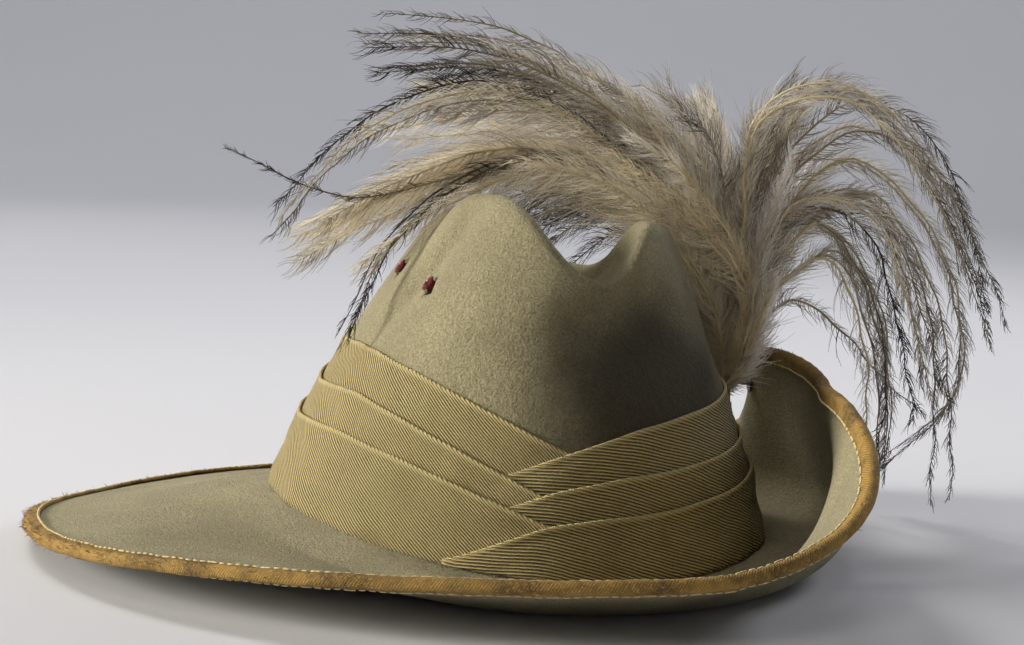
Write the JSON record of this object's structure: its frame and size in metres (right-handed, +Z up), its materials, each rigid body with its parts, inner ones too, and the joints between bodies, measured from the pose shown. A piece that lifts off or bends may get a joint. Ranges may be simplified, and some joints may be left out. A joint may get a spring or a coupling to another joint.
{
  "type": "slouch hat",
  "caption": "Wide-brimmed felt slouch hat with the left side of the brim turned up, a pleated cloth band and a feather plume.",
  "frame": {"origin": "middle of the hat's bounding box in plan, on the flat surface that the brim rests on", "axes": "+Z up, -Y towards the front of the hat, +X towards the wearer's left, where the brim is turned up"},
  "size_m": [0.3398, 0.3719, 0.1873],
  "materials": {
    "felt": "khaki wool felt, short nap",
    "binding": "golden brown ribbed ribbon, worn",
    "band_cloth": "khaki cotton twill",
    "feather": "soft feather barbs, cream to dark olive brown",
    "hook_metal": "blackened",
    "eyelet_metal": "dark red enamel, worn"
  },
  "bodies": {
    "root": {"felt_body": "felt", "brim_binding": "binding", "puggaree": "band_cloth", "plume": "feather", "flap_hook": "hook_metal", "vent_eyelet_front": "eyelet_metal", "vent_eyelet_rear": "eyelet_metal"}
  },
  "joints": []
}
